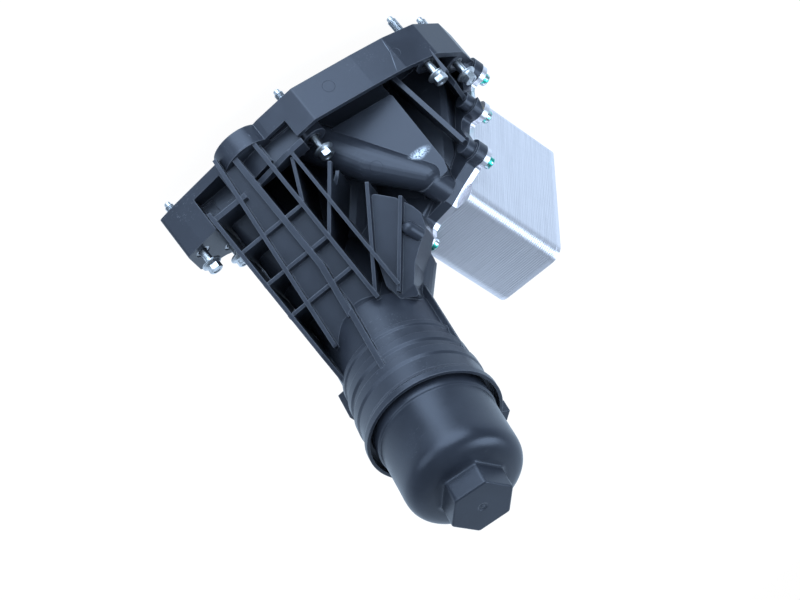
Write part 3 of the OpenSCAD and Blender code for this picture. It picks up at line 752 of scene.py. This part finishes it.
def cooler_screw_mesh(reach, washer, count=72):
    """Cooler screw: plain shank, washer face and a low round head with a six-lobed socket."""
    bm = bmesh.new()
    head, top, socket = washer * 0.82, 0.0054, washer * 0.5
    shank, lobe = 0.003, 0.0003
    turned_skin(bm, [(shank * 0.9, -reach), (shank, -reach + 0.0006), (shank, 0.0)], 24)

    def lobed(radius, z):
        reaches = [radius + lobe * math.cos(6 * a) for a in around(count)]
        return [(q * math.cos(a), q * math.sin(a), z) for q, a in zip(reaches, around(count))]

    rows = [(washer - 0.0003, 0.0), (washer, 0.0004), (washer, 0.001), (washer - 0.0004, 0.0014)]
    rows += [(head, 0.0017), (head, top - 0.0009), (head - 0.0003, top - 0.0003), (head - 0.0009, top)]
    rings = [round_ring(q, z, count) for q, z in rows]
    rings += [lobed(socket, top), lobed(socket * 0.96, top - 0.0004), lobed(socket * 0.94, top - 0.0026)]
    skin_rings(bm, rings)
    return bm


def loose_parts(name):
    """Points of each separate solid in a CAD node."""
    bm = bmesh.new()
    bm.from_mesh(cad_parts[name].data)
    bmesh.ops.remove_doubles(bm, verts=bm.verts, dist=1e-6)
    bm.verts.index_update()
    seen, parts = set(), []
    for first in bm.verts:
        if first in seen:
            continue
        seen.add(first)
        stack, found = [first], []
        while stack:
            vertex = stack.pop()
            found.append(vertex.co.copy())
            others = {edge.other_vert(vertex) for edge in vertex.link_edges} - seen
            seen |= others
            stack.extend(sorted(others, key=lambda other: other.index))
        parts.append(found)
    bm.free()
    return parts


def middle_of(points):
    return sum(points, Vector()) / len(points)


# Sizes and colours that a user may change


def colour_value(name, description, default):
    return FloatVectorProperty(
        name=name, description=description, default=default, subtype="COLOR", size=3, min=0.0, max=1.0
    )


def number_value(name, description, low, high, default, **kind):
    return FloatProperty(name=name, description=description, min=low, max=high, default=default, **kind)


def length_value(*values):
    return number_value(*values, subtype="DISTANCE", unit="LENGTH")


def share_value(*values):
    return number_value(*values, subtype="FACTOR")


def power_value(*values):
    return number_value(*values, subtype="POWER", unit="POWER")


class HousingLook(bpy.types.PropertyGroup):
    """Looks of the moulded housing and the size of its added boss"""

    colour: colour_value("Colour", "Colour of the moulded housing", (0.0155, 0.0172, 0.0225))
    roughness: share_value("Roughness", "How dull the moulded surface is", 0.05, 0.95, 0.33)
    grain: length_value("Grain Size", "Width of one spark-eroded grain", 0.0001, 0.002, 0.0004)
    edge_round: length_value("Edge Rounding", "Radius that softens the moulded edges", 0.0001, 0.002, 0.0008)
    # Wear also sets the lighter colour along the edges, which is partly rubbed wear and partly painted edge
    # highlight.
    wear_and_edge_highlight: share_value("Wear", "Share of rubbed edges and thin scratches", 0.0, 1.0, 0.6)
    line_width: length_value(
        "Flow Line Width", "Width of the pale flow line on the skirt", 0.0001, 0.002, 0.00028
    )
    boss_wall: length_value("Boss Wall", "Wall of the rear bolt boss round its sleeve", 0.002, 0.005, 0.003)


class CapLook(bpy.types.PropertyGroup):
    """Looks and sizes of the screw cap"""

    colour: colour_value("Colour", "Colour of the screw cap", (0.0125, 0.0142, 0.019))
    roughness: share_value("Roughness", "How dull the cap is", 0.05, 0.95, 0.3)
    grain: length_value("Grain Size", "Width of one grain on the cap", 0.0001, 0.002, 0.0006)
    edge_round: length_value("Edge Rounding", "Radius that softens the cap's edges", 0.0001, 0.003, 0.0012)
    # Wear also sets the lighter colour along the edges, which is partly rubbed wear and partly painted edge
    # highlight.
    wear_and_edge_highlight: share_value("Wear", "Share of rubbed edges and thin scratches", 0.0, 1.0, 0.25)
    radius: length_value("Radius", "Radius of the cap's body", 0.036, 0.038, 0.0369)
    wall: length_value("Wall", "Wall of the cap's body", 0.0026, 0.0036, 0.0032)
    rim_height: length_value("Rim Height", "Height of the bowl's mouth along the axis", 0.23, 0.245, 0.238)
    hex_base: length_value(
        "Hexagon Base", "Height of the hexagon's foot along the axis", 0.285, 0.292, 0.289
    )
    hex_height: length_value("Hexagon Height", "Height of the hexagon", 0.012, 0.016, 0.016)
    hex_flats: length_value("Hexagon Width", "Width of the hexagon across its flats", 0.032, 0.036, 0.036)
    thread_pitch: length_value("Thread Pitch", "Rise of the cap's thread in one turn", 0.003, 0.005, 0.004)
    hub_radius: length_value(
        "Hub Radius", "Radius of the socket for the element's hub", 0.0104, 0.012, 0.01048
    )


class CoolerLook(bpy.types.PropertyGroup):
    """Looks and sizes of the plate cooler"""

    colour: colour_value("Colour", "Colour of the brazed plates", (0.8, 0.77, 0.8))
    roughness: share_value("Roughness", "How dull the plates are", 0.1, 0.9, 0.38)
    metal: share_value("Metal", "How metallic the brazed skin is", 0.0, 1.0, 0.9)
    edge_round: length_value("Edge Rounding", "Radius that softens the plate edges", 0.0001, 0.002, 0.0003)
    layer_tone: share_value("Layer Tone", "Brightness of the darker layers in the stack", 0.5, 1.0, 0.86)
    plate_pitch: length_value(
        "Plate Pitch", "Distance from one plate of the stack to the next", 0.001, 0.004, 0.0016
    )
    groove: length_value("Groove", "Depth of the groove between two plates", 0.0, 0.0005, 0.00016)
    corner: length_value("Corner Radius", "Radius of the stack's upright edges", 0.006, 0.012, 0.009)


class FastenerLook(bpy.types.PropertyGroup):
    """Sizes and colours of the flange bolts and the cooler screws"""

    shank: length_value("Thread Diameter", "Outer diameter of the bolt thread", 0.004, 0.008, 0.006)
    washer: length_value(
        "Washer Diameter", "Diameter of the washer face under the head", 0.010, 0.016, 0.0134
    )
    flats: length_value("Head Flats", "Width across the flats of the bolt head", 0.006, 0.011, 0.008)
    screw_head: length_value(
        "Screw Head Radius", "Radius of the washer face of the cooler screws", 0.004, 0.006, 0.0053
    )
    head_height: length_value(
        "Screw Head Height", "Height of the cooler screws' heads", 0.005, 0.007, 0.0055
    )
    zinc: colour_value("Zinc Colour", "Colour of the plated steel", (0.72, 0.75, 0.78))
    lock_tint: colour_value(
        "Locking Tint", "Colour of the locking fluid on the cooler screws", (0.02, 0.62, 0.46)
    )


class InnerLook(bpy.types.PropertyGroup):
    """Looks of the filter element and the bypass valve"""

    paper: colour_value("Paper Colour", "Colour of the pleated filter paper", (0.72, 0.6, 0.36))
    frame_colour: colour_value(
        "Frame Colour", "Colour of the element's moulded parts and the standpipe", (0.03, 0.032, 0.036)
    )
    brass: colour_value("Brass Colour", "Colour of the inserts and the valve disc", (0.66, 0.5, 0.24))
    spring_foot: length_value(
        "Spring Foot", "Height of the spring's fixed end along the filter axis", 0.23, 0.236, 0.233
    )
    spring_length: length_value("Spring Length", "Length of the bypass spring at rest", 0.011, 0.014, 0.013)
    coil: length_value("Coil Radius", "Radius of the spring's coil", 0.004, 0.005, 0.0044)
    wire: length_value("Wire Radius", "Radius of the spring's wire", 0.0004, 0.0008, 0.0006)
    turns: IntProperty(name="Turns", description="Turns of the bypass spring", min=3, max=8, default=5)


class StageLook(bpy.types.PropertyGroup):
    """Floor, lamps and lens"""

    floor_gap: length_value(
        "Floor Gap", "Space between the lowest bolt tip and the floor", 0.0, 0.01, 0.0003
    )
    floor_colour: colour_value("Floor Colour", "Colour of the plain floor", (0.86, 0.88, 0.9))
    key_power: power_value("Key Power", "Power of the large soft lamp", 0.0, 200.0, 15.0)
    fill_power: power_value("Fill Power", "Power that the three side lamps share out", 0.0, 200.0, 6.0)
    surround: share_value("Surround", "Light of the white surround on the object", 0.0, 2.0, 1.7)
    lens: number_value(
        "Lens", "Focal length of the camera", 20.0, 200.0, 81.0, subtype="DISTANCE_CAMERA"
    )


LOOKS = {
    "module_housing": HousingLook,
    "module_cap": CapLook,
    "module_cooler": CoolerLook,
    "module_fasteners": FastenerLook,
    "module_inner": InnerLook,
    "module_stage": StageLook,
}


# Operators


class DressHousing(bpy.types.Operator):
    """Gives the moulded housing its grained plastic with the marks of its mould"""

    bl_idname = "filtermodule.dress_housing"
    bl_label = "Dress Housing"

    def execute(self, context):
        look = context.scene.module_housing
        finish = (look.colour, look.roughness, look.grain, look.edge_round, look.wear_and_edge_highlight, look.line_width)
        dress(moulded_plastic("housing_plastic", *finish), "housing")
        return {"FINISHED"}


class BuildCap(bpy.types.Operator):
    """Builds the screw cap with its thread, round shoulder and hexagon"""

    bl_idname = "filtermodule.build_cap"
    bl_label = "Build Cap"

    def execute(self, context):
        look = context.scene.module_cap
        finish = (look.colour, look.roughness, look.grain, look.edge_round, look.wear_and_edge_highlight)
        material = moulded_plastic("cap_plastic", *finish)
        shell = finish_piece("cap_shell", cap_mesh(look), material, "cap")
        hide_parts("filter_cap")
        return {"FINISHED"}


class BuildCooler(bpy.types.Operator):
    """Builds the stack of nested plates and dresses the base and end plates"""

    bl_idname = "filtermodule.build_cooler"
    bl_label = "Build Cooler"

    def execute(self, context):
        look = context.scene.module_cooler
        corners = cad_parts["cooler_core"].data.vertices
        low, high = box_of([[vertex.co.dot(axis) for axis in COOLER_AXES] for vertex in corners])
        material = brazed_aluminium("cooler_plates", look, STACK_LAYERS, look.layer_tone)
        bm = plate_stack_mesh(low, high, look)
        stack = finish_piece("plate_stack", bm, material, "module")
        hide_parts("cooler_core")
        sheet = brazed_aluminium("cooler_sheet", look, SHEET_LAYERS, 1.0)
        dress(sheet, "cooler_base_plate", "cooler_end_plate")
        return {"FINISHED"}


class DressInner(bpy.types.Operator):
    """Dresses the filter element, the standpipe, the bypass valve and the seals"""

    bl_idname = "filtermodule.dress_inner"
    bl_label = "Dress Inner Parts"

    def execute(self, context):
        look = context.scene.module_inner
        element = moulded_plastic("element_plastic", look.frame_colour, **ELEMENT_FINISH)
        dress(element, "element_core", "element_top_cap", "element_base_cap", "standpipe")
        dress(pleat_paper(look), "element_media")
        steel = plated_metal("spring_steel", STEEL, 0.3)
        dress(steel, "bypass_seat", "bypass_retainer")
        dress(plated_metal("sleeve_steel", STEEL, 0.36), "bolt_sleeves")
        dress(plated_metal("turned_brass", look.brass, 0.28), "bypass_poppet", "cooler_inserts")
        dress(rubber_skin(), "cap_seal", "element_seal", "drain_pin_seals", "cooler_seals", "flange_seal")
        spring = finish_piece("valve_spring", spring_mesh(look), steel, "module")
        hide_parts("bypass_spring")
        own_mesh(spring)
        return {"FINISHED"}


class BuildBolts(bpy.types.Operator):
    """Builds the flange bolts with their threads, points, washer faces and hexagon heads"""

    bl_idname = "filtermodule.build_bolts"
    bl_label = "Build Flange Bolts"

    def execute(self, context):
        look = context.scene.module_fasteners
        zinc = plated_metal("bright_zinc", look.zinc, 0.33)
        bolts = sorted(loose_parts("flange_bolts"), key=lambda points: middle_of(points).x)
        low, high = box_of(bolts[0])
        mesh = new_mesh("flange_bolt", flange_bolt_mesh(look, high.z - low.z - BOLT_HEAD), zinc)
        places = []
        for number, points in enumerate(bolts):
            spot = middle_of(points)
            spot.z = box_of(points)[1].z - BOLT_HEAD
            places.append(Matrix.Translation(spot) @ Matrix.Rotation(BOLT_TURN * number, 4, "Z"))
        hang_copies(mesh, places, "flange_bolts")
        return {"FINISHED"}


class BuildRearBoss(bpy.types.Operator):
    """Builds the moulded boss round the bolt at the rear edge of the flange"""

    bl_idname = "filtermodule.build_rear_boss"
    bl_label = "Build Rear Boss"

    def execute(self, context):
        look = context.scene.module_housing
        low, high = box_of(max(loose_parts("bolt_sleeves"), key=lambda points: box_of(points)[1].y))
        inner = (high.x - low.x) / 2
        outer = inner + look.boss_wall
        bottom, top, chamfer = low.z + 0.0002, high.z - 0.0002, 0.0005
        outline = [(inner, bottom), (outer - chamfer, bottom), (outer, bottom + chamfer)]
        outline += [(outer, top - chamfer), (outer - chamfer, top), (inner, top)]
        bm = bmesh.new()
        turned_ring(bm, outline, 64)
        bm.transform(Matrix.Translation(((low.x + high.x) / 2, (low.y + high.y) / 2, 0.0)))
        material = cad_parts["housing"].material_slots[0].material
        finish_piece("rear_bolt_boss", bm, material, "module")
        return {"FINISHED"}


class BuildScrews(bpy.types.Operator):
    """Builds the cooler screws, plated and with traces of locking fluid"""

    bl_idname = "filtermodule.build_screws"
    bl_label = "Build Cooler Screws"

    def execute(self, context):
        look = context.scene.module_fasteners
        material = plated_metal("locked_zinc", look.zinc, 0.28, look.lock_tint)
        lean = Matrix(COOLER_AXES).transposed().to_4x4()
        screws = sorted(loose_parts("cooler_screws"), key=lambda points: middle_of(points).z)
        places, reaches = [], []
        for number, points in enumerate(screws):
            heights = [point.dot(COOLER_OUT) for point in points]
            middle = middle_of(points)
            seat = max(heights) - look.head_height
            reaches.append(seat - min(heights))
            spot = cooler_point(middle.dot(COOLER_LONG), middle.dot(COOLER_WIDE), seat)
            places.append(Matrix.Translation(spot) @ lean @ Matrix.Rotation(SCREW_TURN * number, 4, "Z"))
        mesh = new_mesh("cooler_screw", cooler_screw_mesh(reaches[0], look.screw_head), material)
        hang_copies(mesh, places, "cooler_screws")
        return {"FINISHED"}


def white_floor(look):
    """Floor that shows white to the camera, keeps the shadow and can be looked through from below."""
    material = bpy.data.materials.new("studio_floor")
    material.use_nodes = True
    tree = material.node_tree
    tree.nodes.clear()
    output = add_node(tree, "OutputMaterial")
    matte = add_node(tree, "BsdfDiffuse")
    matte.inputs["Color"].default_value = (*look.floor_colour, 1.0)
    glow = add_node(tree, "Emission", strength=FLOOR_GLOW)
    path = add_node(tree, "LightPath")
    clear = add_node(tree, "BsdfTransparent")
    behind = add_node(tree, "NewGeometry").outputs["Backfacing"]
    lit = add_node(tree, "MixShader", fac=FLOOR_GLOW_SHARE)
    seen = add_node(tree, "MixShader")
    direct = math_node(tree, "MAXIMUM", path.outputs["Is Camera Ray"], path.outputs["Is Transmission Ray"])
    hidden = math_node(tree, "MAXIMUM", behind, math_node(tree, "SUBTRACT", 1.0, direct))
    join(
        tree,
        (matte.outputs["BSDF"], lit.inputs[1]),
        (glow.outputs["Emission"], lit.inputs[2]),
        (hidden, seen.inputs["Fac"]),
        (lit.outputs["Shader"], seen.inputs[1]),
        (clear.outputs["BSDF"], seen.inputs[2]),
        (seen.outputs["Shader"], output.inputs["Surface"]),
    )
    return material


def white_surround(look):
    """World that is white to the camera, even for matte faces and brighter ahead for polished ones."""
    world = bpy.data.worlds.new("studio")
    world.use_nodes = True
    tree = world.node_tree
    background = tree.nodes["Background"]
    path = add_node(tree, "LightPath")
    direct = math_node(tree, "MAXIMUM", path.outputs["Is Camera Ray"], path.outputs["Is Transmission Ray"])
    where = add_node(tree, "TexCoord").outputs["Generated"]
    ahead = vector_node(tree, "DOT_PRODUCT", "Value", where, VIEW_AHEAD)
    ahead = ramp(tree, ahead, *MIRROR_RANGE, *MIRROR_LIGHT)
    mirrored = math_node(tree, "MULTIPLY", path.outputs["Is Glossy Ray"], ahead)
    ambient = math_node(tree, "MULTIPLY", path.outputs["Is Diffuse Ray"], look.surround)
    strength = math_node(tree, "MAXIMUM", direct, math_node(tree, "MAXIMUM", mirrored, ambient))
    shown = blend_colour(tree, direct, COOL_WHITE, (1.0, 1.0, 1.0))
    join(tree, (shown, background.inputs["Color"]), (strength, background.inputs["Strength"]))
    return world


def add_lamp(name, spot, target, width, power):
    """Round soft lamp at a spot, turned to the target."""
    data = bpy.data.lights.new(name, "AREA")
    data.shape = "DISK"
    data.size = width
    data.energy = power
    data.color = COOL_WHITE
    lamp = new_object(name, data)
    lamp.location = spot
    lamp.rotation_euler = (target - spot).to_track_quat("-Z", "Y").to_euler()


class SetStage(bpy.types.Operator):
    """Lays the floor, hangs the lamps and sets the camera at the view of the reference"""

    bl_idname = "filtermodule.set_stage"
    bl_label = "Set Stage"

    def execute(self, context):
        look = context.scene.module_stage
        low, high = Vector(CAD_BOX[0]), Vector(CAD_BOX[1])
        middle = (low + high) / 2
        height = low.z - look.floor_gap
        bm = bmesh.new()
        corners = ((-1, -1), (1, -1), (1, 1), (-1, 1))
        places = [(middle.x + x * FLOOR_REACH, middle.y + y * FLOOR_REACH, height) for x, y in corners]
        bm.faces.new([bm.verts.new(place) for place in places])
        floor = new_object("floor", new_mesh("floor", bm, white_floor(look)))
        for name, offset, width, share, power in LAMPS:
            add_lamp(name, middle + Vector(offset), middle, width, share * getattr(look, power))
        data = bpy.data.cameras.new("camera")
        data.lens = look.lens
        data.sensor_width = SENSOR_WIDTH
        camera = new_object("camera", data)
        camera.matrix_world = Matrix.Translation(CAMERA_SPOT) @ Matrix(CAMERA_AXES).transposed().to_4x4()
        context.scene.camera = camera
        context.scene.world = white_surround(look)
        context.scene.view_settings.view_transform = "Standard"
        return {"FINISHED"}


OPERATORS = (
    SetStage, DressHousing, BuildCap, BuildCooler, DressInner, BuildBolts, BuildRearBoss, BuildScrews,
)


class ModulePanel(bpy.types.Panel):
    """Lists the looks of the filter module and the steps that build them"""

    bl_idname = "VIEW3D_PT_filter_module"
    bl_label = "Filter Module"
    bl_space_type = "VIEW_3D"
    bl_region_type = "UI"
    bl_category = "Filter Module"

    def draw(self, context):
        for name, look in LOOKS.items():
            box = self.layout.box()
            box.label(text=name.replace("module_", "").title())
            for key in look.__annotations__:
                box.prop(getattr(context.scene, name), key)
        for operator in OPERATORS:
            self.layout.operator(operator.bl_idname)


def register():
    for name, look in LOOKS.items():
        bpy.utils.register_class(look)
        setattr(bpy.types.Scene, name, PointerProperty(type=look))
    for item in (*OPERATORS, ModulePanel):
        bpy.utils.register_class(item)


def unregister():
    for item in reversed((*OPERATORS, ModulePanel)):
        bpy.utils.unregister_class(item)
    for name, look in LOOKS.items():
        delattr(bpy.types.Scene, name)
        bpy.utils.unregister_class(look)


def main():
    register()
    bpy.ops.filtermodule.set_stage()
    bpy.ops.filtermodule.dress_housing()
    bpy.ops.filtermodule.build_cap()
    bpy.ops.filtermodule.build_cooler()
    bpy.ops.filtermodule.dress_inner()
    bpy.ops.filtermodule.build_bolts()
    bpy.ops.filtermodule.build_rear_boss()
    bpy.ops.filtermodule.build_screws()


if __name__ == "__main__":
    main()
